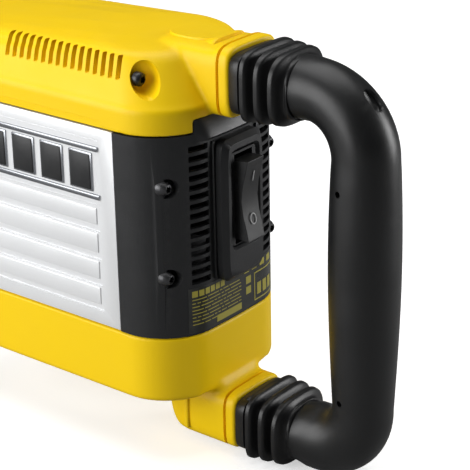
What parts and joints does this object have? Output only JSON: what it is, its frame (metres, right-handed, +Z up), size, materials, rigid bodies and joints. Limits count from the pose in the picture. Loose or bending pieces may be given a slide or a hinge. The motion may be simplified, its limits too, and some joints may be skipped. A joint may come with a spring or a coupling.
{
  "type": "demolition hammer",
  "caption": "Electric demolition hammer with a sprung D-handle on two bellows, louvred rear cover with rocker switch, crank-driven impact mechanism, side handle and keyed tool holder.",
  "frame": {"origin": "on the resting surface, under the centre of the box around the hammer", "axes": "-X along the tool axis towards the tool end, +X towards the D-handle, +Z up, Y across the body"},
  "size_m": [0.56, 0.131, 0.2692],
  "materials": {
    "yellow_plastic": "moulded, fine texture",
    "black_plastic": "moulded, fine texture",
    "silver_panel": "bright satin",
    "badge_metal": "polished frame, dark field",
    "handle_rubber": "satin soft-grip",
    "bellows_rubber": "matt",
    "rocker_plastic": "satin",
    "plate_film": "printed film",
    "screw_steel": "blackened",
    "steel": "machined",
    "cast_alloy": "die cast",
    "barrel_paint": "textured black paint",
    "lamination": "stacked sheet",
    "copper": "enamelled",
    "bronze": "sintered",
    "board": "potted",
    "carbon": "carbon"
  },
  "bodies": {
    "root": {"lower_cover": "yellow_plastic", "top_cover": "yellow_plastic", "rear_cover": "black_plastic", "side_panel_left": "silver_panel", "side_panel_right": "silver_panel", "badges": "badge_metal", "switch_frame": "black_plastic", "switch_body": "black_plastic", "rating_plate": "plate_film", "rear_cover_screws": "screw_steel", "top_cover_screws": "screw_steel", "motor_housing": "black_plastic", "field": "lamination", "motor_bearings": "steel", "brush_holders": "bronze", "brushes": "carbon", "electronics_module": "board", "cable_gland": "black_plastic", "gear_case": "cast_alloy", "gear_case_lid": "cast_alloy", "crank_bearing": "steel", "cylinder_liner": "steel", "bolt_guide": "bronze", "front_plate": "barrel_paint", "barrel_housing": "barrel_paint", "barrel_screws": "screw_steel", "tool_holder": "steel", "locking_rollers": "steel", "retainer_ring": "steel", "sleeve_spring": "steel", "dust_cap": "bellows_rubber", "bellows_upper": "bellows_rubber", "bellows_lower": "bellows_rubber", "guide_bushes": "bronze", "handle_springs": "steel"},
    "armature": {"armature_core": "copper", "armature_shaft": "steel", "commutator": "copper", "fan": "black_plastic"},
    "crank": {"crank_gear": "steel", "crank_shaft": "steel"},
    "piston": {"piston": "cast_alloy", "piston_ring": "bellows_rubber", "wrist_pin": "steel"},
    "connecting_rod": {"connecting_rod": "cast_alloy", "crank_pin": "steel"},
    "ram": {"ram": "steel", "ram_ring": "bellows_rubber"},
    "impact_bolt": {"impact_bolt": "steel"},
    "rocker": {"rocker": "rocker_plastic"},
    "handle": {"handle_left": "handle_rubber", "handle_right": "handle_rubber", "handle_screws": "screw_steel", "guide_pins": "steel"},
    "lock_sleeve": {"lock_sleeve": "black_plastic"},
    "side_handle": {"clamp_band": "barrel_paint", "clamp_bolt": "steel", "side_handle_loop": "handle_rubber"},
    "clamp_knob": {"clamp_knob": "black_plastic"}
  },
  "joints": [
    {"name": "crank_spin", "type": "hinge", "parent": "root", "child": "crank", "pos_m": [0.0445, 0, 0.184], "axis": [0, 0, 1], "continuous": true},
    {"name": "armature_spin", "type": "hinge", "parent": "root", "child": "armature", "pos_m": [0.088, 0, 0.126], "axis": [0, 0, 1], "continuous": true},
    {"name": "piston_slide", "type": "slide", "parent": "root", "child": "piston", "axis": [1, 0, 0], "range_m": [-0.034, 0]},
    {"name": "rod_swing", "type": "hinge", "parent": "piston", "child": "connecting_rod", "pos_m": [-0.0165, 0, 0.21], "axis": [0, 0, 1], "range_deg": [-12.6, 12.6]},
    {"name": "ram_slide", "type": "slide", "parent": "root", "child": "ram", "axis": [1, 0, 0], "range_m": [-0.0045, 0.023]},
    {"name": "impact_bolt_slide", "type": "slide", "parent": "root", "child": "impact_bolt", "axis": [1, 0, 0], "range_m": [-0.008, 0]},
    {"name": "rocker_tilt", "type": "hinge", "parent": "root", "child": "rocker", "pos_m": [0.163, 0, 0.168], "axis": [0, -1, 0], "range_deg": [0, 14]},
    {"name": "handle_slide", "type": "slide", "parent": "root", "child": "handle", "axis": [1, 0, 0], "range_m": [-0.008, 0], "stiffness_N_per_m": 15000, "springref_m": 0.004, "deforming": ["handle_springs"]},
    {"name": "sleeve_slide", "type": "slide", "parent": "root", "child": "lock_sleeve", "axis": [1, 0, 0], "range_m": [0, 0.01], "stiffness_N_per_m": 800, "springref_m": -0.004, "deforming": ["sleeve_spring"]},
    {"name": "side_handle_turn", "type": "hinge", "parent": "root", "child": "side_handle", "pos_m": [-0.143, 0, 0.21], "axis": [1, 0, 0], "range_deg": [-180, 180]},
    {"name": "knob_turn", "type": "hinge", "parent": "side_handle", "child": "clamp_knob", "pos_m": [-0.143, 0, 0.15], "axis": [0, 1, 0], "range_deg": [0, 720]}
  ],
  "couplings": [
    {"joint": "armature_spin", "follows": "crank_spin", "ratio": -5.4444}
  ]
}
